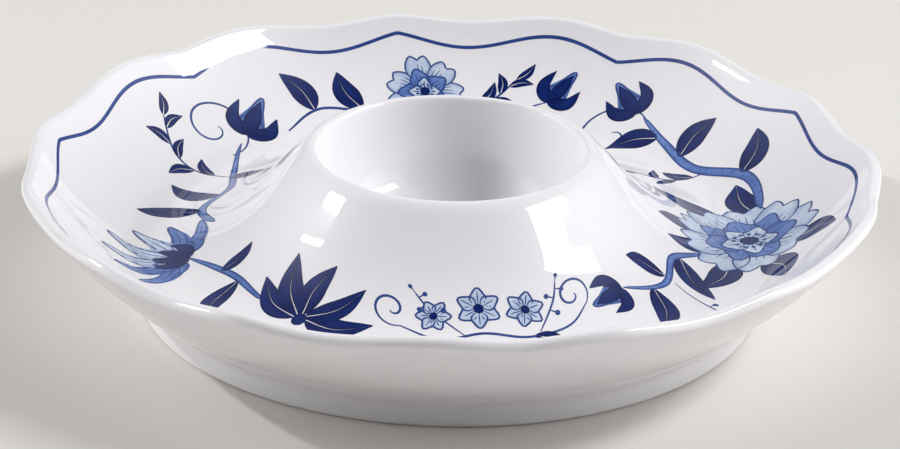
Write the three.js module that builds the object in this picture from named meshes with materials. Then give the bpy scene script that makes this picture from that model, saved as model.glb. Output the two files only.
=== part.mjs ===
// Porcelain egg cup on its own saucer: a lobed dish on a foot ring, and in the middle of the dish a
// conical skirt that carries the egg well. Millimetres, +Z up. The origin is on the table, on the
// axis of the cup. Profiles are (radius, height) pairs, turned about Z.

import * as THREE from 'three';

// Dish
const RIM_RADIUS = 70; // mean outer radius of the lip, between the lobes' peaks and dips
const RIM_HEIGHT = 22.2; // centre of the lip's round
const RIM_ROUND = 1.1; // radius of the lip's round, so half the wall at the lip
const FLOOR_HEIGHT = 8.5;
const FLOOR_THICKNESS = 4.3;
const FLOOR_INSET = 2.2; // from the foot's outside in to where the floor curves up into the wall
const FLOOR_FILLET = 9;
const WALL_BULGE = 0.9; // how far the wall bows outwards between the foot and the lip

// Lobes of the rim: each has a point that leans out and, half way to the next, a notch
const LOBE_COUNT = 5;
const LOBE_TURN = 27; // degrees from +X to the first point
const LOBE_SWING = 0.95; // how far the lip moves each way from its mean place
const LOBE_LEAN = 53; // degrees above level in which the lip moves
const LOBE_WAVE = 0.8; // length of one wave, in half lobes
const LOBE_SHARPNESS = 0.985; // 1 gives sharp points and notches
const LOBE_MARGIN = 2.1; // plain wall above the foot ring before the lobes begin

// Foot ring
const FOOT_RADIUS = 51.4; // outside, on the table
const FOOT_WIDTH = 3;
const FOOT_FLARE = 0.5; // how much wider the outside is at its top
const FOOT_SPREAD = 0.8; // how much further in the inside reaches at its top
const FOOT_ROUND = 0.6;

// Egg well and its lip
const MOUTH_RADIUS = 22.1;
const MOUTH_HEIGHT = 24.25; // centre of the lip's round
const MOUTH_ROUND = 1.25;
const WELL_DEPTH = 18; // from the centre of the lip's round to the bottom
const WELL_WALL = 2.4;
const LIP_DROP = 3; // from the centre of the lip's round down to the lip's flat underside

// Skirt round the well: a cone that flares out into the floor
const CONE_SLOPE = 48.2; // degrees below level
const SKIRT_LAND = 0.7; // flat floor between the flare and the wall's curve
const SEAT_WIDTH = 12.5; // width of the ring on which it stands
const SEAT_DEPTH = 1.4; // recess in the floor that takes it

// Joints between the pieces
const SLIP = 0.4; // luting slip
const SLIP_INSET = 0.3; // the slip stops this far inside the edges it joins
const SEAT_CLEARANCE = 0.3;

// Facets
const DISH_FACETS = 120;
const CUP_FACETS = 90;
const SLIP_FACETS = 60;
const WALL_STEPS = 4;
const ROUND_STEPS = 5;
const FILLET_STEPS = 4;
const FLARE_STEPS = 7;
const BOWL_STEPS = 8;

const RIGHT_ANGLE = Math.PI / 2;

const porcelain = { color: 0xf4f4f2, roughness: 0.12, metalness: 0 };
const biscuit = { color: 0xeeece6, roughness: 0.7, metalness: 0 };

function point(radius, height) {
  return new THREE.Vector2(radius, height);
}

// The point at a given distance and direction from a centre.
function polar(centre, radius, angle) {
  return point(centre.x + radius * Math.cos(angle), centre.y + radius * Math.sin(angle));
}

function arc(centre, radius, from, to, steps) {
  const places = Array.from({ length: steps + 1 }, (_, i) => from + ((to - from) * i) / steps);
  return places.map((angle) => polar(centre, radius, angle));
}

// The corner that a wall bowed to its right heads for from both of its ends.
function shoulder(start, end) {
  const along = end.clone().sub(start).normalize();
  const bow = point(along.y, -along.x).multiplyScalar(2 * WALL_BULGE);
  return start.clone().lerp(end, 0.5).add(bow);
}

// Points of a bowed wall, without its ends.
function bowed(start, corner, end) {
  return new THREE.QuadraticBezierCurve(start, corner, end).getPoints(WALL_STEPS).slice(1, -1);
}

// Direction, from a round's centre, of the straight wall that touches it and also passes the other
// centre, which lies the given distance further that way. The side is 1 or -1.
function tangentDirection(centre, other, distance, side) {
  const reach = other.clone().sub(centre);
  const direction = reach.angle() + side * Math.acos(distance / reach.length());
  return Math.atan2(Math.sin(direction), Math.cos(direction));
}

function turned(profile, facets) {
  const geometry = new THREE.LatheGeometry([...profile, profile[0]], facets);
  return geometry.rotateX(RIGHT_ANGLE);
}

function washer(inner, outer, bottom, top) {
  return turned(
    [point(inner, bottom), point(outer, bottom), point(outer, top), point(inner, top)],
    SLIP_FACETS,
  );
}

function piece(name, geometry, finish) {
  const mesh = new THREE.Mesh(geometry, new THREE.MeshStandardMaterial(finish));
  mesh.name = name;
  return mesh;
}

// Rounds that the straight walls touch
const floorRadius = FOOT_RADIUS - FLOOR_INSET;
const rimCentre = point(RIM_RADIUS - RIM_ROUND, RIM_HEIGHT);
const floorCentre = point(floorRadius, FLOOR_HEIGHT + FLOOR_FILLET);
const mouthCentre = point(MOUTH_RADIUS + MOUTH_ROUND, MOUTH_HEIGHT);

// Heights of the seats
const underside = FLOOR_HEIGHT - FLOOR_THICKNESS;
const footTop = underside - SLIP;
const skirtSeat = FLOOR_HEIGHT - SEAT_DEPTH;
const skirtBase = skirtSeat + SLIP;
const lipSeat = MOUTH_HEIGHT - LIP_DROP;
const skirtTop = lipSeat - SLIP;

// Direction in which the cone's outside faces
const coneSlope = THREE.MathUtils.degToRad(CONE_SLOPE);
const coneDirection = RIGHT_ANGLE - coneSlope;

// Radius of the cone's outside at a height.
function coneRadius(height) {
  const rise = (height - mouthCentre.y) * Math.sin(coneDirection);
  return mouthCentre.x + (MOUTH_ROUND - rise) / Math.cos(coneDirection);
}

// Radius of the well's outside at a height.
function wellRadius(height) {
  const drop = (MOUTH_HEIGHT - height) / (WELL_DEPTH + WELL_WALL);
  return (MOUTH_RADIUS + WELL_WALL) * Math.sqrt(1 - drop * drop);
}

// The flare is the arc that touches the cone and the floor at the skirt's radius.
const skirtRadius = floorRadius - SKIRT_LAND;
const flareRadius = (skirtRadius - coneRadius(FLOOR_HEIGHT)) / Math.tan(coneSlope / 2);
const flareCentre = point(skirtRadius, FLOOR_HEIGHT + flareRadius);

const skirtInnerBase = skirtRadius - SEAT_WIDTH;
const skirtInnerTop = wellRadius(skirtTop) + SEAT_CLEARANCE;
const footTopOuter = FOOT_RADIUS + FOOT_FLARE;
const footTopInner = FOOT_RADIUS - FOOT_WIDTH - FOOT_SPREAD;

// How far the lip stands out of its mean place at an angle about Z.
function lobe(angle) {
  const turn = LOBE_COUNT * (angle - THREE.MathUtils.degToRad(LOBE_TURN));
  const share = Math.acos(LOBE_SHARPNESS * Math.cos(turn)) / Math.PI;
  return LOBE_SWING * Math.sin((2 * Math.PI * (share - 0.5)) / LOBE_WAVE);
}

// Moves the dish's wall with the lobes, from nothing at the wall's foot to all at the lip.
function addLobes(geometry) {
  const lean = THREE.MathUtils.degToRad(LOBE_LEAN);
  const places = geometry.getAttribute('position');
  const place = new THREE.Vector3();
  for (let i = 0; i < places.count; i += 1) {
    place.fromBufferAttribute(places, i);
    const radius = Math.hypot(place.x, place.y);
    const share = THREE.MathUtils.smoothstep(radius, footTopOuter + LOBE_MARGIN, RIM_RADIUS);
    const shift = share * lobe(Math.atan2(place.y, place.x));
    const grow = 1 + (shift * Math.cos(lean)) / radius;
    places.setXYZ(i, place.x * grow, place.y * grow, place.z + shift * Math.sin(lean));
  }
  return geometry;
}

function saucerDish() {
  const wallFoot = point(footTopOuter, underside);
  const straightOut = tangentDirection(rimCentre, wallFoot, RIM_ROUND, 1);
  const outerCorner = shoulder(wallFoot, polar(rimCentre, RIM_ROUND, straightOut));
  const straightIn = tangentDirection(rimCentre, floorCentre, RIM_ROUND + FLOOR_FILLET, -1);
  const floorEnd = polar(floorCentre, FLOOR_FILLET, straightIn + Math.PI);
  const innerCorner = shoulder(floorEnd, polar(rimCentre, RIM_ROUND, straightIn));
  const outside = tangentDirection(rimCentre, outerCorner, RIM_ROUND, 1);
  const inside = tangentDirection(rimCentre, innerCorner, RIM_ROUND, -1);
  const curl = tangentDirection(floorCentre, innerCorner, FLOOR_FILLET, -1);
  const lip = arc(rimCentre, RIM_ROUND, outside, inside, ROUND_STEPS);
  const fillet = arc(floorCentre, FLOOR_FILLET, curl, -RIGHT_ANGLE, FILLET_STEPS);
  const recess = skirtRadius + SEAT_CLEARANCE;
  const profile = [
    point(skirtInnerBase, underside),
    wallFoot,
    ...bowed(wallFoot, outerCorner, lip[0]),
    ...lip,
    ...bowed(lip[ROUND_STEPS], innerCorner, fillet[0]),
    ...fillet,
    point(recess, FLOOR_HEIGHT),
    point(recess, skirtSeat),
    point(skirtInnerBase, skirtSeat),
  ];
  return piece('saucer_dish', addLobes(turned(profile, DISH_FACETS)), porcelain);
}

function footRing() {
  const outerCentre = point(FOOT_RADIUS - FOOT_ROUND, FOOT_ROUND);
  const innerCentre = point(FOOT_RADIUS - FOOT_WIDTH + FOOT_ROUND, FOOT_ROUND);
  const profile = [
    ...arc(innerCentre, FOOT_ROUND, 2 * RIGHT_ANGLE, 3 * RIGHT_ANGLE, 2),
    ...arc(outerCentre, FOOT_ROUND, -RIGHT_ANGLE, 0, 2),
    point(footTopOuter, footTop),
    point(footTopInner, footTop),
  ];
  return piece('foot_ring', turned(profile, CUP_FACETS), porcelain);
}

function cupSkirt() {
  const profile = [
    point(skirtInnerBase, skirtBase),
    point(skirtRadius, skirtBase),
    ...arc(flareCentre, flareRadius, 3 * RIGHT_ANGLE, coneDirection + Math.PI, FLARE_STEPS),
    point(coneRadius(skirtTop), skirtTop),
    point(skirtInnerTop, skirtTop),
  ];
  return piece('cup_skirt', turned(profile, CUP_FACETS), porcelain);
}

function eggWell() {
  const bottom = MOUTH_HEIGHT - WELL_DEPTH;
  const bowl = (angle, wall) =>
    point((MOUTH_RADIUS + wall) * Math.cos(angle), MOUTH_HEIGHT - (WELL_DEPTH + wall) * Math.sin(angle));
  const angles = Array.from({ length: BOWL_STEPS }, (_, i) => (RIGHT_ANGLE * i) / BOWL_STEPS);
  const seatAngle = Math.asin(LIP_DROP / (WELL_DEPTH + WELL_WALL));
  const outer = angles.map((angle) => seatAngle + (angle * (RIGHT_ANGLE - seatAngle)) / RIGHT_ANGLE);
  const profile = [
    point(0, bottom - WELL_WALL),
    ...outer.map((angle) => bowl(angle, WELL_WALL)).reverse(),
    point(coneRadius(lipSeat), lipSeat),
    ...arc(mouthCentre, MOUTH_ROUND, coneDirection, 2 * RIGHT_ANGLE, ROUND_STEPS),
    ...angles.slice(1).map((angle) => bowl(angle, 0)),
    point(0, bottom),
  ];
  return piece('egg_well', new THREE.LatheGeometry(profile, CUP_FACETS).rotateX(RIGHT_ANGLE), porcelain);
}

function slipSeam(name, inner, outer, bottom) {
  const seam = washer(inner + SLIP_INSET, outer - SLIP_INSET, bottom, bottom + SLIP);
  return piece(name, seam, biscuit);
}

const eggCup = new THREE.Group();
eggCup.add(
  saucerDish(),
  footRing(),
  cupSkirt(),
  eggWell(),
  slipSeam('foot_slip_seam', footTopInner, footTopOuter, footTop),
  slipSeam('skirt_slip_seam', skirtInnerBase, skirtRadius, skirtSeat),
  slipSeam('lip_slip_seam', skirtInnerTop, coneRadius(skirtTop), skirtTop),
);

export default eggCup;
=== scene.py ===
import bisect
import itertools
import math
import random

import bmesh
import bpy
from mathutils import Matrix, Vector
from mathutils.geometry import interpolate_bezier


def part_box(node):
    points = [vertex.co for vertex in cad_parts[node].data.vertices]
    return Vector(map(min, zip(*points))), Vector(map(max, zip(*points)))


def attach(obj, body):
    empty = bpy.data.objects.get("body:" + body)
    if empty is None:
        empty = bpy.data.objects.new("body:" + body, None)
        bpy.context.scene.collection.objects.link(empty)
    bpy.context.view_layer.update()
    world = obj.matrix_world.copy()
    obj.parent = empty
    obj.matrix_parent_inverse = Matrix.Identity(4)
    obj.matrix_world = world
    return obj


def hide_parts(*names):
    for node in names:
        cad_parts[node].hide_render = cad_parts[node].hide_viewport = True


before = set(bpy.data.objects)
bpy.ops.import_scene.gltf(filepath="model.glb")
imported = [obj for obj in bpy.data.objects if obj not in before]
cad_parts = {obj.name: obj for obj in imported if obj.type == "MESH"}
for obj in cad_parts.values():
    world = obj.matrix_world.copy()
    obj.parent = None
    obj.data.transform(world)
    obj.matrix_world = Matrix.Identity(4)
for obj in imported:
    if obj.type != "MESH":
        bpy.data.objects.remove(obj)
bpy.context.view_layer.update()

# A porcelain egg cup on its own saucer, painted in cobalt blue under the glaze. Metres, +Z up.
# Profiles are (radius, height) pairs about Z. Angles about Z start at +X.

MM = 0.001
RIGHT_ANGLE = math.pi / 2
FULL_TURN = 2 * math.pi

# Dish
RIM_RADIUS = 70 * MM
RIM_HEIGHT = 22.2 * MM  # centre of the rim's round
RIM_ROUND = 1.1 * MM
FLOOR_RADIUS = 49.2 * MM  # where the floor starts to curve up into the wall
FLOOR_HEIGHT = 8.5 * MM
FLOOR_FILLET = 9 * MM
WALL_BULGE = 0.9 * MM
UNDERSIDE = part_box("saucer_dish")[0].z

# Lobes of the rim: points that lean out, with notches half way between
LOBE_COUNT = 5
LOBE_TURN = math.radians(27)
LOBE_SWING = 0.95 * MM
LOBE_LEAN = math.radians(53)
LOBE_WAVE = 0.8  # length of the lobes' sine wave, where 1 is the way from a point to a notch
LOBE_SHARPNESS = 0.985  # at 1 the points and notches are corners
LOBE_START = 54 * MM  # radius from which the wall follows the lobes

# Foot ring
FOOT_RADIUS = 51.4 * MM
FOOT_WIDTH = 3 * MM
FOOT_FLARE = 0.5 * MM
FOOT_ROUND = 0.6 * MM
FOOT_CREASE = 1.3 * MM  # how far the hollow between the wall and the foot runs down the foot
FOOT_HOLLOW = 2 * MM  # round between the foot and the underside

# Egg well and the skirt round it
MOUTH_RADIUS = 22.1 * MM
MOUTH_ROUND = 1.25 * MM
MOUTH_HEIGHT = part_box("egg_well")[1].z - MOUTH_ROUND
LIP_CREST = 1 * MM  # from the lip's highest place out to the corner that it rounds
LIP_ROLL = 2.2 * MM  # from that corner down to the skirt's straight side
WELL_DEPTH = 18 * MM
WELL_FULLNESS = 2 / 3  # below 1 the well keeps its width further down than an ellipse does
WELL_WALL = 2.4 * MM
LIP_SEAM = 3 * MM  # from the mouth's height down to where the lip joins the skirt
CONE_SLOPE = math.radians(48.2)  # of the skirt's straight side, below level
SKIRT_RADIUS = 48.5 * MM  # where the skirt's flare meets the floor
FLARE_RISE = 10 * MM  # height above the floor at which it starts
SKIRT_WALL = 3 * MM

# Fineness of the turned pieces
QUARTER_STEPS = 180
LIP_STEPS = 18
FILLET_STEPS = 16
WALL_STEPS = 30
BOWL_STEPS = 40
CREASE_WALL_STEPS = 3  # steps of the outer wall that the hollow above the foot takes up
CREASE_PULL = 2 / 3  # of the way to the corner that it rounds
FOOT_WALL_STEPS = 11  # steps of the outer wall that go with the foot
SEAM_EASE = 0.02 * MM  # the wall is straight this far each side of its seam
WELD = 0.001 * MM
SHARP_ANGLE = math.radians(40)

# Painting
FILM_LIFT = 0.02 * MM  # of the lowest strokes above the glaze
LAYER_LIFT = 0.008 * MM  # between strokes that cross
FILM_DEPTH = 0.05 * MM
STROKE_STEP = 0.5 * MM
LEAST_ALONG = 6  # steps along the shortest stroke
LEAST_ACROSS = 2
MEASURE_STEPS = 8  # between the places at which a stroke is measured
DIRECTION_SPAN = 0.01  # share of a path on each side over which its direction is taken
BORDER_OUT = 21.2 * MM  # from the floor to the line round the dish
BORDER_WIDTH = 0.68 * MM
BORDER_WAVE = 1.9  # how much more it swings than the lobes
HAND_SEED = 7

# Painted sizes in millimetres, as the motifs are drawn
FINEST = 0.02
RIB = 0.1
OUTLINE = 0.34
VEIN = 0.2
STEM = 0.45
BERRY_STEM = 0.35
BERRY_STALK = 0.25
STALK_LENGTH = 1.6

# How strokes swell along their length, as part of a sine's arch: a power below 1 makes it fuller,
# and a pace below 1 puts its widest place nearer to the start
LINE_SWELL = {"power": 0.6, "start": 0.1, "end": 0.92}
LEAF_SWELL = {"power": 0.85, "pace": 0.8}
PETAL_SWELL = {"start": 0.05, "end": 0.85}
BLADE_SWELL = {"power": 0.9, "pace": 0.7}
BRANCH_SWELL = {"power": 0.3}

# Petals, as shares of their length and half width
EDGE_STEPS = 12
TIP_STEPS = 5
VEIN_STEPS = 4
VEIN_START = 0.04
VEIN_REACH = 0.75  # of the middle vein
VEIN_DROP = 0.3  # how much less the outermost would reach
VEIN_SPREAD = 0.75
VEIN_VARIES = (0.8, 1.1)
PETAL_SWAY = 3.44  # degrees
STAMENS = 11
FLORET_PETALS = 6

# Tendrils and berries
CURL_STEPS = 12  # to each turn
CURL_END_STEPS = 5
CURL_PACE = 0.7  # below 1 a tendril winds in late
BERRY_START = 0.35  # share of the stem below the first berry

# Layers that strokes lie in, from the glaze up
BEHIND = -1
HEART = 10

# Glaze
GLAZE_RIPPLE = 4 * MM
GLAZE_SWELL = 0.004 * MM
GLAZE_CLOUD = 30 * MM
GLAZE_ROUGHNESS = 0.03
GLAZE_IOR = 1.52
BARE_HEIGHT = 0.4 * MM  # the foot is ground bare up to about here
BARE_BLEND = 0.12 * MM
BARE_RAGGED = 3 * MM
BARE_ROUGHNESS = 0.7

# Cobalt
BRUSH_CLOUD = 2.5 * MM
BRISTLE_STRETCH = (1.3, 5, 1)  # streaks to a stroke's length and to its width
POOL_WIDTH = 0.2  # share of a stroke's width, at each edge
STROKE_FADE = 0.3  # how much thinner the colour gets towards a stroke's end
FULL_FLOW = 0.75  # up to here the colour is full
THIN_FLOW = 1.5  # from here on it is thin

# Camera, found from the ellipses of the foot, rim and mouth in a picture of this many pixels
IMAGE_WIDTH = 900
FOCAL_PIXELS = 3332.3
CAMERA_DISTANCE = 550.4 * MM
CAMERA_ELEVATION = math.radians(23.29)
CAMERA_PITCH = math.radians(23.58)
CAMERA_ROLL = math.radians(1.26)
CAMERA_AIM_HEIGHT = 14.58 * MM
SENSOR_WIDTH = 36

# Floor
FLOOR_REACH = 3
PAPER_ROUGHNESS = 0.9

# Light: the room's glow as directions with their narrowness and strength, and two strip softboxes,
# whose roll is in degrees
ROOM_GLOW = (
    ((1, 0, 0.1), 8, 2.9),
    ((-1, 0, 0.1), 8, 2.75),
    ((0, 1, 0.5), 4, 0.5),
    ((0.75, 0, 0.66), 16, 1.7),
    ((-0.81, 0.16, 0.57), 16, 1.6),
)
SOFTBOX_DISTANCE = 0.8
RIGHT_STRIP = {
    "direction": (0.722, -0.012, 0.692),
    "width": 0.36,
    "height": 0.115,
    "roll": -24,
    "glow": 26.3,
}
LEFT_STRIP = {
    "direction": (-0.804, 0.137, 0.579),
    "width": 0.16,
    "height": 0.017,
    "roll": 32,
    "glow": 245,
}


# Turned profiles


def polar(centre, radius, angle):
    return centre + Vector((radius * math.cos(angle), radius * math.sin(angle)))


def arc(centre, radius, start, end, steps):
    return [polar(centre, radius, start + (end - start) * i / steps) for i in range(steps + 1)]


def bowed(start, corner, end, steps):
    """A curve that leaves its start towards a corner and comes to its end from there."""
    shares = [i / steps for i in range(steps + 1)]
    return [start * (1 - t) ** 2 + corner * 2 * t * (1 - t) + end * t ** 2 for t in shares]


def shoulder(start, end):
    """The corner that a wall bowed to its right heads for from both of its ends."""
    along = (end - start).normalized()
    return (start + end) / 2 + Vector((along.y, -along.x)) * 2 * WALL_BULGE


def tangent_direction(centre, other, distance, side):
    """Direction, from a round's centre, of the straight wall that touches it and passes the other
    centre, which lies the given distance further that way."""
    reach = other - centre
    direction = math.atan2(reach.y, reach.x) + side * math.acos(distance / reach.length)
    return math.atan2(math.sin(direction), math.cos(direction))


rim_centre = Vector((RIM_RADIUS - RIM_ROUND, RIM_HEIGHT))
floor_centre = Vector((FLOOR_RADIUS, FLOOR_HEIGHT + FLOOR_FILLET))
mouth_centre = Vector((MOUTH_RADIUS + MOUTH_ROUND, MOUTH_HEIGHT))
wall_foot = Vector((FOOT_RADIUS + FOOT_FLARE, UNDERSIDE))

# The walls' directions where they touch their rounds
straight_out = tangent_direction(rim_centre, wall_foot, RIM_ROUND, 1)
outer_corner = shoulder(wall_foot, polar(rim_centre, RIM_ROUND, straight_out))
straight_in = tangent_direction(rim_centre, floor_centre, RIM_ROUND + FLOOR_FILLET, -1)
floor_end = polar(floor_centre, FLOOR_FILLET, straight_in + math.pi)
inner_corner = shoulder(floor_end, polar(rim_centre, RIM_ROUND, straight_in))
outside = tangent_direction(rim_centre, outer_corner, RIM_ROUND, 1)
inside = tangent_direction(rim_centre, inner_corner, RIM_ROUND, -1)
floor_curl = tangent_direction(floor_centre, inner_corner, FLOOR_FILLET, -1)
cone_direction = RIGHT_ANGLE - CONE_SLOPE


def cone_radius(height, inside_by=0):
    """Radius of the skirt's cone at a height, this far inside its outer face."""
    rise = (height - mouth_centre.y) * math.sin(cone_direction)
    return mouth_centre.x + (MOUTH_ROUND - inside_by - rise) / math.cos(cone_direction)


# The lip, from the skirt's straight side over its crest and into the mouth
lip_top = MOUTH_HEIGHT + MOUTH_ROUND
lip_corner = Vector((cone_radius(lip_top), lip_top))
lip_crest = lip_corner - Vector((LIP_CREST, 0))
lip_outside = lip_corner + Vector((math.cos(CONE_SLOPE), -math.sin(CONE_SLOPE))) * LIP_ROLL
mouth_corner = Vector((MOUTH_RADIUS, lip_top))
mouth_edge = Vector((MOUTH_RADIUS, MOUTH_HEIGHT))
lip = bowed(lip_outside, lip_corner, lip_crest, LIP_STEPS)
lip += bowed(lip_crest, mouth_corner, mouth_edge, LIP_STEPS)[1:]

# Other stretches of the profile, from the skirt outwards and down to the foot
flare_top = Vector((cone_radius(FLOOR_HEIGHT + FLARE_RISE), FLOOR_HEIGHT + FLARE_RISE))
flare_corner = Vector((cone_radius(FLOOR_HEIGHT), FLOOR_HEIGHT))
flare = bowed(flare_top, flare_corner, Vector((SKIRT_RADIUS, FLOOR_HEIGHT)), WALL_STEPS)
floor_fillet = arc(floor_centre, FLOOR_FILLET, -RIGHT_ANGLE, floor_curl, FILLET_STEPS)
rim = arc(rim_centre, RIM_ROUND, inside, outside, LIP_STEPS)
inner_wall = bowed(floor_fillet[-1], inner_corner, rim[0], WALL_STEPS)
outer_wall = bowed(rim[-1], outer_corner, wall_foot, WALL_STEPS)


def lobe(angle, sharpness=LOBE_SHARPNESS):
    """How far the rim stands out of its mean place at an angle about Z."""
    share = math.acos(sharpness * math.cos(LOBE_COUNT * (angle - LOBE_TURN))) / math.pi
    return LOBE_SWING * math.sin(FULL_TURN * (share - 0.5) / LOBE_WAVE)


def smooth_share(value, low, high):
    share = min(max((value - low) / (high - low), 0), 1)
    return share * share * (3 - 2 * share)


def turned_place(radius, height, angle):
    """A profile point turned to an angle, with the lobes added on the dish's wall."""
    shift = smooth_share(radius, LOBE_START, RIM_RADIUS) * lobe(angle)
    radius += shift * math.cos(LOBE_LEAN)
    height += shift * math.sin(LOBE_LEAN)
    return Vector((radius * math.cos(angle), radius * math.sin(angle), height))


def turned(profile, closed=True):
    """A solid of revolution; a profile that isn't closed starts and ends on the axis."""
    bm = bmesh.new()
    dots = [bm.verts.new((p.x, 0, p.y)) for p in profile]
    ends = dots[1:] + dots[:1] if closed else dots[1:]
    lines = [bm.edges.new(pair) for pair in zip(dots, ends)]
    bmesh.ops.spin(
        bm, geom=dots + lines, cent=(0, 0, 0), axis=(0, 0, 1), angle=RIGHT_ANGLE, steps=QUARTER_STEPS
    )
    for axis in "XY":
        bmesh.ops.mirror(bm, geom=[*bm.verts, *bm.edges, *bm.faces], axis=axis, merge_dist=WELD)
    bmesh.ops.remove_doubles(bm, verts=bm.verts, dist=WELD)
    bmesh.ops.recalc_face_normals(bm, faces=bm.faces)
    for vert in bm.verts:
        radius = math.hypot(vert.co.x, vert.co.y)
        vert.co = turned_place(radius, vert.co.z, math.atan2(vert.co.y, vert.co.x))
    return bm


def piece(name, bm, material, *nodes):
    """Makes the finished object, riding on the one body, in place of these nodes."""
    for face in bm.faces:
        face.smooth = True
    for edge in bm.edges:
        edge.smooth = edge.calc_face_angle(0) < SHARP_ANGLE
    mesh = bpy.data.meshes.new(name)
    bm.to_mesh(mesh)
    bm.free()
    mesh.materials.append(material)
    made = bpy.data.objects.new(name, mesh)
    bpy.context.scene.collection.objects.link(made)
    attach(made, "root")
    if nodes:
        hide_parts(*nodes)


# Porcelain


def foot_crease():
    """The soft hollow round the outside, from the wall down to the foot's outer face."""
    on_wall = outer_wall[-CREASE_WALL_STEPS]
    wall_direction = (on_wall - outer_wall[-CREASE_WALL_STEPS - 1]).normalized()
    along = wall_direction * (wall_foot - on_wall).length
    down = (Vector((FOOT_RADIUS, FOOT_ROUND)) - wall_foot).normalized() * FOOT_CREASE
    on_foot = wall_foot + down
    pulls = on_wall + along * CREASE_PULL, on_foot - down * CREASE_PULL
    return interpolate_bezier(on_wall, *pulls, on_foot, FILLET_STEPS)


# Places where the saucer, the foot and the skirt meet
foot_seam = Vector((FOOT_RADIUS - FOOT_WIDTH - FOOT_HOLLOW, UNDERSIDE))
wall_seam = outer_wall[-FOOT_WALL_STEPS]
along_wall = outer_wall[1 - FOOT_WALL_STEPS] - outer_wall[-1 - FOOT_WALL_STEPS]
seam_ease = along_wall.normalized() * SEAM_EASE
joint = foot_seam.lerp(wall_seam, (SKIRT_RADIUS - foot_seam.x) / (wall_seam.x - foot_seam.x))
lip_seam_height = MOUTH_HEIGHT - LIP_SEAM
lip_seam = Vector((cone_radius(lip_seam_height), lip_seam_height))


def build_saucer(material):
    profile = [
        joint,
        Vector((SKIRT_RADIUS, FLOOR_HEIGHT)),
        *floor_fillet,
        *inner_wall[1:],
        *rim[1:],
        *outer_wall[1:-FOOT_WALL_STEPS],
        wall_seam - seam_ease,
        wall_seam,
    ]
    piece("saucer", turned(profile), material, "saucer_dish", "skirt_slip_seam")


def build_foot(material):
    inner_face = FOOT_RADIUS - FOOT_WIDTH
    outer_round = Vector((FOOT_RADIUS - FOOT_ROUND, FOOT_ROUND))
    inner_round = Vector((inner_face + FOOT_ROUND, FOOT_ROUND))
    hollow = Vector((inner_face - FOOT_HOLLOW, UNDERSIDE - FOOT_HOLLOW))
    profile = [
        wall_seam,
        wall_seam + seam_ease,
        *outer_wall[1 - FOOT_WALL_STEPS : -CREASE_WALL_STEPS],
        *foot_crease(),
        *arc(outer_round, FOOT_ROUND, 0, -RIGHT_ANGLE, LIP_STEPS),
        *arc(inner_round, FOOT_ROUND, -RIGHT_ANGLE, -2 * RIGHT_ANGLE, LIP_STEPS),
        *arc(hollow, FOOT_HOLLOW, 0, RIGHT_ANGLE, FILLET_STEPS),
    ]
    piece("foot", turned(profile), material, "foot_ring", "foot_slip_seam")


def build_skirt(material):
    profile = [
        Vector((cone_radius(UNDERSIDE, SKIRT_WALL), UNDERSIDE)),
        Vector((cone_radius(lip_seam_height, SKIRT_WALL), lip_seam_height)),
        lip_seam,
        *flare,
        joint,
        foot_seam,
    ]
    piece("cup_cone", turned(profile), material, "cup_skirt", "lip_slip_seam")


def build_well(material):
    """The bowl with its lip: up its back from the axis, over the lip and down its inside."""
    seam_angle = math.asin((LIP_SEAM / (WELL_DEPTH + WELL_WALL)) ** (1 / WELL_FULLNESS))
    back_angles = [
        RIGHT_ANGLE + (seam_angle - RIGHT_ANGLE) * i / BOWL_STEPS for i in range(BOWL_STEPS + 1)
    ]
    inside_angles = [RIGHT_ANGLE * i / BOWL_STEPS for i in range(1, BOWL_STEPS + 1)]

    def bowl(angle, wall):
        across = (MOUTH_RADIUS + wall) * max(math.cos(angle), 0) ** WELL_FULLNESS
        down = (WELL_DEPTH + wall) * math.sin(angle) ** WELL_FULLNESS
        return Vector((across, MOUTH_HEIGHT - down))

    profile = [
        *[bowl(angle, WELL_WALL) for angle in back_angles],
        lip_seam,
        *lip,
        *[bowl(angle, 0) for angle in inside_angles],
    ]
    profile[0].x = 0
    profile[-1].x = 0
    piece("well", turned(profile, closed=False), material, "egg_well")


# Cobalt painting. Motifs are drawn flat in millimetres, x to the right and y towards the rim for
# someone who stands at the cup, and are laid on the glaze as thin films.

painted_profile = [*flare, *floor_fillet, *inner_wall[1:]]
painted_lengths = [0]
for start, end in zip(painted_profile, painted_profile[1:]):
    painted_lengths.append(painted_lengths[-1] + (end - start).length)
floor_length = painted_lengths[len(flare) - 1]
stroke_number = itertools.count()
hand = random.Random(HAND_SEED)
paint = {tone: bmesh.new() for tone in ("border", "line", "leaf", "wash", "tint")}
for strokes in paint.values():
    strokes.loops.layers.uv.new("brush")


def glaze_place(angle, aside, out, layer):
    """A place on the glaze: an angle, a distance to the right of it, and one out from the floor."""
    length = out + floor_length
    i = min(max(bisect.bisect(painted_lengths, length), 1), len(painted_lengths) - 1)
    start, end = painted_profile[i - 1], painted_profile[i]
    share = (length - painted_lengths[i - 1]) / (painted_lengths[i] - painted_lengths[i - 1])
    place = start.lerp(end, share)
    along = (end - start).normalized()
    lift = FILM_LIFT + layer * LAYER_LIFT
    return turned_place(place.x - along.y * lift, place.y + along.x * lift, angle - aside / place.x)


def spot(angle, out, turn=0):
    """Where a motif is laid: degrees about Z, millimetres out from the floor, and its turn."""
    rotation = Matrix.Rotation(math.radians(turn), 2) * MM

    def lay(point, layer):
        flat = rotation @ point
        return glaze_place(math.radians(angle), flat.x, out * MM + flat.y, layer)

    return lay


def ring(point, layer):
    """Lays a motif that runs far round the dish: x is in degrees about Z."""
    return glaze_place(math.radians(point.x), 0, point.y * MM, layer)


def ray(turn, length):
    """A flat offset towards a turn in degrees, of this length."""
    return Vector((math.cos(math.radians(turn)), math.sin(math.radians(turn)))) * length


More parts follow.
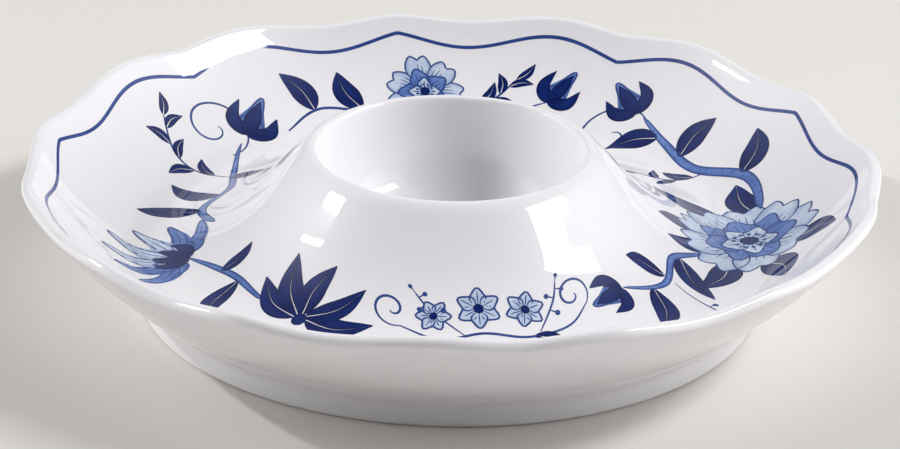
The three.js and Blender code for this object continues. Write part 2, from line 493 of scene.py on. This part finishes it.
def through(points):
    """A smooth line through points, as a place for each share of the way along it."""
    places = [Vector(point) for point in points]
    knots = [2 * places[0] - places[1], *places, 2 * places[-1] - places[-2]]
    spans = len(places) - 1

    def path(share):
        i = min(int(share * spans), spans - 1)
        t = share * spans - i
        a, b, c, d = knots[i : i + 4]
        bend = 2 * a - 5 * b + 4 * c - d
        twist = 3 * b - a - 3 * c + d
        return (2 * b + (c - a) * t + bend * t ** 2 + twist * t ** 3) / 2

    return path


def bent(base, tip, bend):
    """A path that bows to its left by a share of its length."""
    base, tip = Vector(base), Vector(tip)
    reach = tip - base
    return through([base, (base + tip) / 2 + Vector((-reach.y, reach.x)) * bend, tip])


def ribbon(path, low, high, tip=0):
    """A shape along a path between two offsets from it; the tip sets its sides back, or its middle."""

    def shape(share, across):
        ahead = path(min(share + DIRECTION_SPAN, 1)) - path(max(share - DIRECTION_SPAN, 0))
        side = Vector((-ahead.y, ahead.x)).normalized()
        back = tip * across ** 2 if tip > 0 else -tip * (1 - abs(across)) ** 2
        offset = low(share) + (high(share) - low(share)) * (across + 1) / 2
        return path(share * (1 - back)) + side * offset

    return shape


def film(tone, lay, shape, layer):
    """Lays one brush stroke of a tone on the glaze."""
    shares = [i / MEASURE_STEPS for i in range(MEASURE_STEPS + 1)]
    marks = [lay(shape(share, 0), 0) for share in shares]
    length = sum((b - a).length for a, b in zip(marks, marks[1:]))
    width = max((lay(shape(share, 1), 0) - lay(shape(share, -1), 0)).length for share in shares)
    bm = paint[tone]
    made = bmesh.ops.create_grid(
        bm,
        x_segments=max(LEAST_ALONG, math.ceil(length / STROKE_STEP)),
        y_segments=max(LEAST_ACROSS, math.ceil(width / STROKE_STEP)),
        size=1,
        calc_uvs=True,
    )["verts"]
    number = next(stroke_number)
    brush_map = bm.loops.layers.uv.active
    for face in {face for vert in made for face in vert.link_faces}:
        for loop in face.loops:
            loop[brush_map].uv.x += number
    for vert in made:
        vert.co = lay(shape((vert.co.x + 1) / 2, vert.co.y), layer)


def swell(share, width, power, pace=1, start=0, end=1):
    """Half the width of a stroke at a share of its length."""
    arch = math.sin(math.pi * (start + (end - start) * share ** pace))
    return max(width / 2 * arch ** power, FINEST)


def stroke(tone, lay, path, half, layer, tip=0):
    """Lays a stroke that is as wide to the left of its path as to the right, and returns its shape."""
    shape = ribbon(path, lambda share: -half(share), half, tip)
    film(tone, lay, shape, layer)
    return shape


def line(lay, points, width=0.5, layer=2):
    """A brush line that swells from a fine start and thins out again."""
    stroke("line", lay, through(points), lambda share: swell(share, width, **LINE_SWELL), layer)


def leaf(lay, base, tip, width, bend=0.1, layer=1):
    """A leaf in two strokes, with the white of the body left between them as its rib."""
    path = bent(base, tip, bend)

    def half(share):
        return max(swell(share, width, **LEAF_SWELL), RIB + FINEST)

    def rib(share):
        return max(RIB * (1 - share), FINEST)

    film("leaf", lay, ribbon(path, rib, half), layer)
    film("leaf", lay, ribbon(path, lambda share: -half(share), lambda share: -rib(share)), layer)


def blade(lay, base, tip, width, bend, layer):
    """A narrow pointed stroke."""
    path = bent(base, tip, bend)
    stroke("leaf", lay, path, lambda share: swell(share, width, **BLADE_SWELL), layer)


def petal(lay, base, tip, width, tone="tint", layer=0, bend=0, point=0.3, veins=3, power=0.62):
    """A washed petal with an outline and fine strokes from its base; a point below 0 is a notch."""
    path = bent(base, tip, bend)
    shape = stroke(
        tone, lay, path, lambda share: swell(share, width, power, **PETAL_SWELL), layer, point
    )
    edge = [shape(i / EDGE_STEPS, -1) for i in range(EDGE_STEPS + 1)]
    edge += [shape(1, i / TIP_STEPS) for i in range(1 - TIP_STEPS, TIP_STEPS)]
    edge += [shape(i / EDGE_STEPS, 1) for i in range(EDGE_STEPS, -1, -1)]
    line(lay, edge, OUTLINE, layer + 1)
    for i in range(veins):
        across = (2 * i + 1) / veins - 1
        reach = (VEIN_REACH - VEIN_DROP * abs(across)) * hand.uniform(*VEIN_VARIES)
        shares = [VEIN_START + reach * j / VEIN_STEPS for j in range(VEIN_STEPS + 1)]
        line(lay, [shape(share, across * VEIN_SPREAD) for share in shares], VEIN, layer + 1)


def dot(lay, centre, radius, tone="line", layer=2):
    centre = Vector(centre)
    side = Vector((radius, 0))

    def half(share):
        return max(radius * math.sqrt(max(1 - (2 * share - 1) ** 2, 0)), FINEST)

    stroke(tone, lay, through([centre - side, centre, centre + side]), half, layer)


def curl(lay, start, centre, turns):
    """A tendril that winds in from its start to a centre; turns below zero wind to the right."""
    centre = Vector(centre)
    reach = Vector(start) - centre
    count = CURL_END_STEPS + int(CURL_STEPS * abs(turns))
    points = []
    for i in range(count):
        share = i / count
        wound = Matrix.Rotation(turns * FULL_TURN * share, 2) @ reach
        points.append(centre + wound * (1 - share) ** CURL_PACE)
    line(lay, points, STEM, BEHIND)


# Flowers and stems. Their inner sizes are shares of the radius or length that they are drawn at.


def rose(lay, radius, counts=(9, 7, 5)):
    """An open bloom from above: three rows of petals round a dark heart."""
    rows = ((0.3, 1, 0.62, "tint"), (0.16, 0.68, 0.5, "wash"), (0.06, 0.42, 0.34, "tint"))
    for row, (count, (foot, reach, wide, tone)) in enumerate(zip(counts, rows)):
        for i in range(count):
            turn = 360 * (i + row / 2) / count + hand.uniform(-PETAL_SWAY, PETAL_SWAY)
            towards = ray(turn, radius)
            petal(
                lay,
                towards * foot,
                towards * reach * hand.uniform(0.94, 1.05),
                wide * radius * hand.uniform(0.95, 1.08),
                tone,
                layer=3 * row + i % 2,
                bend=hand.uniform(-0.05, 0.05),
                point=0.3 if row else -0.16,
                veins=5 - row,
            )
    heart, stamen_ring, stamen = 0.13 * radius, 0.21 * radius, 0.03 * radius
    dot(lay, (0, 0), heart, "leaf", HEART)
    for i in range(STAMENS):
        dot(lay, ray(360 * i / STAMENS, stamen_ring), stamen, "line", HEART + 1)


def lily(lay, length):
    """A blossom from the side: pointed petals fan out of a dark cup."""
    for i, lean in enumerate((-74, 74, -50, 50, -26, 26, 0)):
        towards = ray(90 - lean, length)
        petal(
            lay,
            towards * 0.1,
            towards * (0.86 + 0.02 * i),
            0.34 * length,
            "wash" if i < 4 else "tint",
            layer=i,
            bend=lean * -0.002,
            point=0.75,
            power=0.8,
        )
    cup_foot, sepal, sepal_width = (0, -0.08 * length), 0.42 * length, 0.17 * length
    for lean in (-46, -16, 16, 46):
        blade(lay, cup_foot, ray(90 - lean, sepal), sepal_width, lean * -0.003, HEART - 1)


def bud(lay, length):
    """A closed bud with toothed sepals."""
    petal(lay, (0, 0.1 * length), (0, length), 0.62 * length, "wash", point=0.7, veins=2, power=0.75)
    foot, sepal_width = (0, -0.05 * length), 0.34 * length
    for lean, reach in ((-30, 0.82), (30, 0.82), (0, 0.92)):
        blade(lay, foot, ray(90 - lean, reach * length), sepal_width, lean * -0.008, 2)


def floret(lay, radius):
    """A small open flower from above."""
    for i in range(FLORET_PETALS):
        towards = ray(360 * i / FLORET_PETALS, radius)
        petal(lay, towards * 0.2, towards, 0.72 * radius, layer=i % 2, point=0.35, veins=1, power=0.5)
    dot(lay, (0, 0), 0.24 * radius, "leaf", 4)


def spray(lay, points, count, length):
    """A stem with leaflets to the left and right in turn and one at its tip."""
    line(lay, points, STEM, 0)
    path = through(points)
    for i in range(count):
        share = (i + 0.8) / (count + 0.6)
        base = path(share)
        ahead = (path(min(share + 0.05, 1)) - path(share - 0.05)).normalized()
        lean = math.radians(hand.uniform(42, 58)) * (-1 if i % 2 else 1)
        size = length * (1 - 0.35 * share) * hand.uniform(0.9, 1.1)
        tip = base + Matrix.Rotation(lean, 2) @ ahead * size
        leaf(lay, base, tip, 0.4 * size, 0.12 if i % 2 else -0.12)
    end = path(1)
    leaf(lay, end, end + (end - path(0.94)).normalized() * length * 0.7, 0.28 * length)


def berries(lay, points, count, radius=0.55):
    """A stem with berries on stalks to the left and right in turn and one at its tip."""
    line(lay, points, BERRY_STEM, 0)
    path = through(points)
    for i in range(count):
        share = BERRY_START + (1 - BERRY_START) * i / (count - 1)
        place = path(share)
        ahead = (path(min(share + 0.02, 1)) - path(share - 0.02)).normalized()
        side = Vector((-ahead.y, ahead.x)) * (1 if i % 2 else -1)
        stalk = side * STALK_LENGTH * (1 - 0.3 * share)
        if i == count - 1:
            stalk = ahead * STALK_LENGTH / 2
        line(lay, [place, place + stalk * 0.6, place + stalk], BERRY_STALK, 0)
        dot(lay, place + stalk, radius * (1.1 - 0.4 * share))


def branch(lay, points, wide, narrow):
    """A woody stem: a wash between two edge lines, with short bars across it."""

    def half(share):
        return swell(share, wide + (narrow - wide) * share, **BRANCH_SWELL)

    shape = stroke("wash", lay, through(points), half, 0)
    for side in (-1, 1):
        line(lay, [shape(i / 24, side) for i in range(25)], OUTLINE, 1)
    bars = 4 * len(points)
    for i in range(bars):
        share = (i + hand.uniform(0.2, 0.8)) / bars
        side = hand.choice((-1, 1))
        line(lay, [shape(share, side * (1 - 0.35 * j)) for j in range(4)], VEIN, 1)


# The design, as someone at the cup would draw it round the dish


def paint_border():
    """The line round the dish, which follows the lobes with sharp points and notches."""

    def path(share):
        angle = FULL_TURN * share
        wave = BORDER_WAVE * lobe(angle, 1) - lobe(angle)
        return Vector((math.degrees(angle), (BORDER_OUT + wave) / MM))

    stroke("border", ring, path, lambda share: BORDER_WIDTH / 2 / MM, 0)


def paint_right():
    at = spot(3, 1.5, 10)
    outer_leaves = ((-34, 12, 5.4), (2, 13, 5.8), (38, 10, 4.8), (150, 12, 5.2), (188, 13, 5.6))
    for turn, length, width in outer_leaves:
        leaf(at, ray(turn, 9.5), ray(turn + 8, 9.5 + length), width, 0.1, BEHIND)
    leaf(at, ray(252, 8), ray(262, 17), 4.6, -0.1, BEHIND)
    leaf(at, ray(290, 8), ray(285, 16.5), 4.4, 0.1, BEHIND)
    rose(at, 12.5)
    branch(ring, [(14, 6), (25, 8.5), (37, 4.5), (47, 7), (54, 10.5)], 2.4, 1)
    leaf(ring, (27, 8.4), (32, 17), 5.2)
    leaf(ring, (42, 5.5), (41, 15.5), 5, -0.1)
    leaf(ring, (49, 7.5), (57, 2), 4.6)
    spray(ring, [(34, 5), (37, -1.5), (46, -6)], 4, 6.5)
    bud(spot(56, 11, 50), 8)
    curl(spot(52, 9), (0, 0), (-6, -4), 1.2)
    branch(ring, [(352, -7), (342, -11), (330, -9), (318, -12)], 1.6, 0.6)
    leaf(ring, (344, -10), (334, -1), 5)
    leaf(ring, (333, -10), (327, -16.5), 4.4)
    leaf(ring, (326, -9.5), (317, -2), 5, -0.1)
    berries(ring, [(333, -8), (329, 2), (321, 7)], 6)
    bud(spot(317, -12, -80), 7)


def paint_front():
    at = spot(281, -10.8, 180)
    line(at, [(-15, -1), (-9, -3.2), (-2, -2), (5, -3.4), (12, -2.4), (16, 1)], 0.5, 0)
    curl(at, (-15, -1), (-16, 2), -1.2)
    curl(at, (16, 1), (13.5, 3), 1.2)
    floret(spot(289, -12.6, 12), 3.2)
    floret(spot(277.5, -13.4, 30), 3.6)
    floret(spot(266.5, -12), 2.8)
    berries(at, [(7, -2.6), (10, 2.5), (11, 6)], 4, 0.5)
    berries(at, [(-5, -2.4), (-10, 2.6), (-12, 5.5)], 4, 0.5)
    leaf(at, (-6, -2.8), (-12, -6), 2.6)
    leaf(at, (6, -3.2), (11, -7), 2.8)


def paint_left():
    at = spot(236, -7, 180)
    leaf_fan = ((166, 12, 4.4), (134, 13, 4.8), (96, 11, 4.4), (58, 11, 4.2), (20, 12, 4.4))
    for turn, length, width in leaf_fan:
        leaf(at, ray(turn, 1), ray(turn - 10, length), width, 0.12 if turn > 90 else -0.12)
    dot(at, (0, 0), 1.3, "leaf")
    berries(at, [(1, 0), (9, -3), (15, -1)], 5)
    branch(ring, [(224, -8), (212, -9), (202, -7.5), (194, -5)], 1.1, 0.8)
    leaf(ring, (213, -8.6), (219, 1), 4.8)
    leaf(ring, (206, -8), (204, -15), 4.2)
    lily(spot(193, -4, -30), 15)
    branch(ring, [(180, -10), (168, -6), (156, -7.5), (144, -2), (134, 5)], 1.8, 0.8)
    leaf(ring, (169, -6), (171, 5), 5.2)
    leaf(ring, (160, -7), (157, 3.5), 4.8, -0.1)
    leaf(ring, (148, -4), (141, -10), 4.6, -0.1)
    spray(ring, [(147, -3), (149, 7), (145, 15)], 5, 6.5)
    bud(spot(131.5, 6.6, -50), 9)
    curl(spot(138, 3), (0, 0), (1, 7), 1.3)


def paint_back():
    line(ring, [(123, 5), (115, 8.5), (105, 7), (96, 11)], 0.6, 0)
    leaf(ring, (116, 8.4), (120, 16.5), 4.6)
    leaf(ring, (107, 7.4), (110, 16), 4.6, -0.1)
    rose(spot(95, 10.5), 7, (7, 5, 4))
    spray(ring, [(89, 7), (83, 9), (79, 13.5)], 5, 6)
    line(ring, [(89, 7), (80, 6.5), (73, 9.5)], 0.5, 0)
    bud(spot(72.5, 9.8, -30), 7.5)
    curl(spot(76, 8), (0, 0), (4, -3), 1.2)


def solid_film(name, bm, material):
    """Closes the strokes of one tone into thin solids that sink a little into the glaze."""
    bm.normal_update()
    bmesh.ops.reverse_faces(bm, faces=[face for face in bm.faces if face.normal.z < 0])
    bm.normal_update()
    bmesh.ops.solidify(bm, geom=bm.faces[:], thickness=FILM_DEPTH)
    bmesh.ops.recalc_face_normals(bm, faces=bm.faces)
    piece(name, bm, material)


# Finishes


def linear(hex_colour):
    """sRGB hex to linear RGBA."""
    channels = [int(hex_colour[i : i + 2], 16) / 255 for i in (1, 3, 5)]
    return (*[c / 12.92 if c <= 0.04045 else ((c + 0.055) / 1.055) ** 2.4 for c in channels], 1)


def add(tree, kind, inputs=None, **settings):
    """One node: its settings, then each input as a link from a socket or as a value."""
    node = tree.nodes.new(kind)
    for name, value in settings.items():
        setattr(node, name, value)
    for socket, value in (inputs or {}).items():
        if isinstance(value, bpy.types.NodeSocket):
            tree.links.new(value, node.inputs[socket])
        else:
            node.inputs[socket].default_value = value
    return node


def new_material(name):
    material = bpy.data.materials.new(name)
    material.use_nodes = True
    material.node_tree.nodes.clear()
    return material, material.node_tree


def glaze_ripple(tree, place):
    """Fired glaze settles in very low ripples, which bend the edges of what it reflects."""
    ripple = add(tree, "ShaderNodeTexNoise", {"Vector": place, "Scale": 1 / GLAZE_RIPPLE, "Detail": 2})
    relief = {"Height": ripple.outputs["Fac"], "Strength": 1, "Distance": GLAZE_SWELL}
    return add(tree, "ShaderNodeBump", relief).outputs["Normal"]


def glazed_porcelain():
    """Hard white porcelain under a clear gloss glaze, which gives sharp reflections over a soft,
    slightly cool white. The ground foot is bare, warmer and matt."""
    material, tree = new_material("glazed_porcelain")
    place = add(tree, "ShaderNodeTexCoord").outputs["Object"]
    cloud = add(tree, "ShaderNodeTexNoise", {"Vector": place, "Scale": 1 / GLAZE_CLOUD, "Detail": 2})
    whites = {"Factor": cloud.outputs["Fac"], "A": linear("#f5f3f4"), "B": linear("#f0eff4")}
    white = add(tree, "ShaderNodeMix", whites, data_type="RGBA")
    height = add(tree, "ShaderNodeSeparateXYZ", {0: place}).outputs["Z"]
    ragged = add(tree, "ShaderNodeTexNoise", {"Vector": place, "Scale": 1 / BARE_RAGGED, "Detail": 3})
    raised = {0: ragged.outputs["Fac"], 1: BARE_HEIGHT, 2: height}
    edge = add(tree, "ShaderNodeMath", raised, operation="MULTIPLY_ADD")
    blend = {"From Min": BARE_HEIGHT, "From Max": BARE_HEIGHT + BARE_BLEND}
    glazed = add(tree, "ShaderNodeMapRange", {"Value": edge.outputs[0], **blend}).outputs[0]
    sheens = {"To Min": BARE_ROUGHNESS, "To Max": GLAZE_ROUGHNESS}
    gloss = add(tree, "ShaderNodeMapRange", {"Value": glazed, **sheens})
    bodies = {"Factor": glazed, "A": linear("#e6e0d4"), "B": white.outputs["Result"]}
    body = add(tree, "ShaderNodeMix", bodies, data_type="RGBA")
    shader = add(
        tree,
        "ShaderNodeBsdfPrincipled",
        {
            "Base Color": body.outputs["Result"],
            "Roughness": gloss.outputs[0],
            "IOR": GLAZE_IOR,
            "Normal": glaze_ripple(tree, place),
        },
    )
    add(tree, "ShaderNodeOutputMaterial", {"Surface": shader.outputs["BSDF"]})
    return material


def cobalt(name, deep, full, thin, pooling):
    """Cobalt blue brushed on under the glaze: it pools dark at the edges of a stroke and thins in
    streaks along it, and shines as the glaze does."""
    material, tree = new_material(name)
    place = add(tree, "ShaderNodeTexCoord").outputs["Object"]
    brush = add(tree, "ShaderNodeUVMap", uv_map="brush").outputs["UV"]
    sides = add(tree, "ShaderNodeSeparateXYZ", {0: brush})
    along = add(tree, "ShaderNodeMath", {0: sides.outputs["X"]}, operation="FRACT")
    stretch = add(tree, "ShaderNodeVectorMath", {0: brush, 1: BRISTLE_STRETCH}, operation="MULTIPLY")
    bristle = add(tree, "ShaderNodeTexNoise", {"Vector": stretch.outputs[0], "Scale": 1, "Detail": 3})
    cloud = add(tree, "ShaderNodeTexNoise", {"Vector": place, "Scale": 1 / BRUSH_CLOUD, "Detail": 3})
    grains = {0: bristle.outputs["Fac"], 1: cloud.outputs["Fac"]}
    grain = add(tree, "ShaderNodeMath", grains, operation="ADD")
    fading = {0: along.outputs[0], 1: STROKE_FADE, 2: grain.outputs[0]}
    flow = add(tree, "ShaderNodeMath", fading, operation="MULTIPLY_ADD")
    thinning = {"Value": flow.outputs[0], "From Min": FULL_FLOW, "From Max": THIN_FLOW}
    load = add(tree, "ShaderNodeMapRange", thinning)
    washes = {"Factor": load.outputs[0], "A": linear(full), "B": linear(thin)}
    wash = add(tree, "ShaderNodeMix", washes, data_type="RGBA")
    off = add(tree, "ShaderNodeMath", {0: sides.outputs["Y"], 1: 0.5}, operation="SUBTRACT")
    edge = add(tree, "ShaderNodeMath", {0: off.outputs[0]}, operation="ABSOLUTE")
    edges = {"Value": edge.outputs[0], "From Min": 0.5 - POOL_WIDTH, "From Max": 0.5}
    pool = add(tree, "ShaderNodeMapRange", edges)
    pooled = add(tree, "ShaderNodeMath", {0: pool.outputs[0], 1: pooling}, operation="MULTIPLY")
    blues = {"Factor": pooled.outputs[0], "A": wash.outputs["Result"], "B": linear(deep)}
    blue = add(tree, "ShaderNodeMix", blues, data_type="RGBA")
    shader = add(
        tree,
        "ShaderNodeBsdfPrincipled",
        {
            "Base Color": blue.outputs["Result"],
            "Roughness": GLAZE_ROUGHNESS,
            "IOR": GLAZE_IOR,
            "Normal": glaze_ripple(tree, place),
        },
    )
    add(tree, "ShaderNodeOutputMaterial", {"Surface": shader.outputs["BSDF"]})
    return material


# Stage


def build_camera():
    data = bpy.data.cameras.new("camera")
    data.sensor_width = SENSOR_WIDTH
    data.lens = FOCAL_PIXELS * SENSOR_WIDTH / IMAGE_WIDTH
    camera = bpy.data.objects.new("camera", data)
    bpy.context.scene.collection.objects.link(camera)
    back = CAMERA_DISTANCE * math.cos(CAMERA_ELEVATION)
    up = CAMERA_DISTANCE * math.sin(CAMERA_ELEVATION) + CAMERA_AIM_HEIGHT
    tilt = Matrix.Rotation(RIGHT_ANGLE - CAMERA_PITCH, 4, "X")
    roll = Matrix.Rotation(CAMERA_ROLL, 4, "Z")
    camera.matrix_world = Matrix.Translation((0, -back, up)) @ tilt @ roll
    bpy.context.scene.camera = camera


def build_floor():
    """A sheet of pale paper, matt enough to show only the shadow."""
    bm = bmesh.new()
    bmesh.ops.create_grid(bm, x_segments=1, y_segments=1, size=FLOOR_REACH)
    mesh = bpy.data.meshes.new("floor")
    bm.to_mesh(mesh)
    bm.free()
    floor = bpy.data.objects.new("floor", mesh)
    bpy.context.scene.collection.objects.link(floor)
    material, tree = new_material("floor_paper")
    matt = {"Base Color": linear("#e2dfda"), "Roughness": PAPER_ROUGHNESS}
    shader = add(tree, "ShaderNodeBsdfPrincipled", matt)
    add(tree, "ShaderNodeOutputMaterial", {"Surface": shader.outputs["BSDF"]})
    mesh.materials.append(material)


def softbox(name, direction, width, height, roll, glow):
    """A lamp whose face has this radiance, looking at the middle of the object."""
    data = bpy.data.lights.new(name, "AREA")
    data.shape = "RECTANGLE"
    data.size = width
    data.size_y = height
    data.energy = glow * math.pi * width * height
    lamp = bpy.data.objects.new(name, data)
    bpy.context.scene.collection.objects.link(lamp)
    towards = Vector(direction).normalized()
    place = Vector((0, 0, CAMERA_AIM_HEIGHT)) + towards * SOFTBOX_DISTANCE
    facing = towards.to_track_quat("Z", "Y").to_matrix().to_4x4()
    turn = Matrix.Rotation(math.radians(roll), 4, "Z")
    lamp.matrix_world = Matrix.Translation(place) @ facing @ turn


def build_light():
    """A strip softbox on each side, and a room that glows at both sides and at the back."""
    world = bpy.data.worlds.new("studio")
    bpy.context.scene.world = world
    world.use_nodes = True
    tree = world.node_tree
    tree.nodes.clear()
    direction = add(tree, "ShaderNodeTexCoord").outputs["Generated"]
    total = 0
    for towards, narrowness, strength in ROOM_GLOW:
        axis = Vector(towards).normalized()
        facing = add(tree, "ShaderNodeVectorMath", {0: direction, 1: axis}, operation="DOT_PRODUCT")
        front = add(tree, "ShaderNodeMath", {0: facing.outputs["Value"], 1: 0}, operation="MAXIMUM")
        beam = add(tree, "ShaderNodeMath", {0: front.outputs[0], 1: narrowness}, operation="POWER")
        inputs = {0: beam.outputs[0], 1: strength, 2: total}
        total = add(tree, "ShaderNodeMath", inputs, operation="MULTIPLY_ADD").outputs[0]
    glow = add(tree, "ShaderNodeBackground", {"Color": linear("#f6f6f8"), "Strength": total})
    add(tree, "ShaderNodeOutputWorld", {"Surface": glow.outputs[0]})
    softbox("right_softbox", **RIGHT_STRIP)
    softbox("left_softbox", **LEFT_STRIP)


porcelain = glazed_porcelain()
build_saucer(porcelain)
build_foot(porcelain)
build_skirt(porcelain)
build_well(porcelain)

paint_border()
paint_right()
paint_front()
paint_left()
paint_back()
inks = {
    "border": cobalt("cobalt_border", "#22326b", "#2a3e80", "#3a559c", 0.6),
    "line": cobalt("cobalt_line", "#1f2f68", "#283d7c", "#425d9d", 0.4),
    "leaf": cobalt("cobalt_leaf", "#080f3a", "#0c1850", "#182f72", 0.7),
    "wash": cobalt("cobalt_wash", "#34508f", "#4a69ae", "#7390cc", 0.8),
    "tint": cobalt("cobalt_tint", "#7d97c6", "#a9bddd", "#d5dfee", 0.6),
}
for tone, ink in inks.items():
    solid_film("cobalt_" + tone, paint[tone], ink)

build_camera()
build_floor()
build_light()
bpy.context.scene.view_settings.view_transform = "Standard"
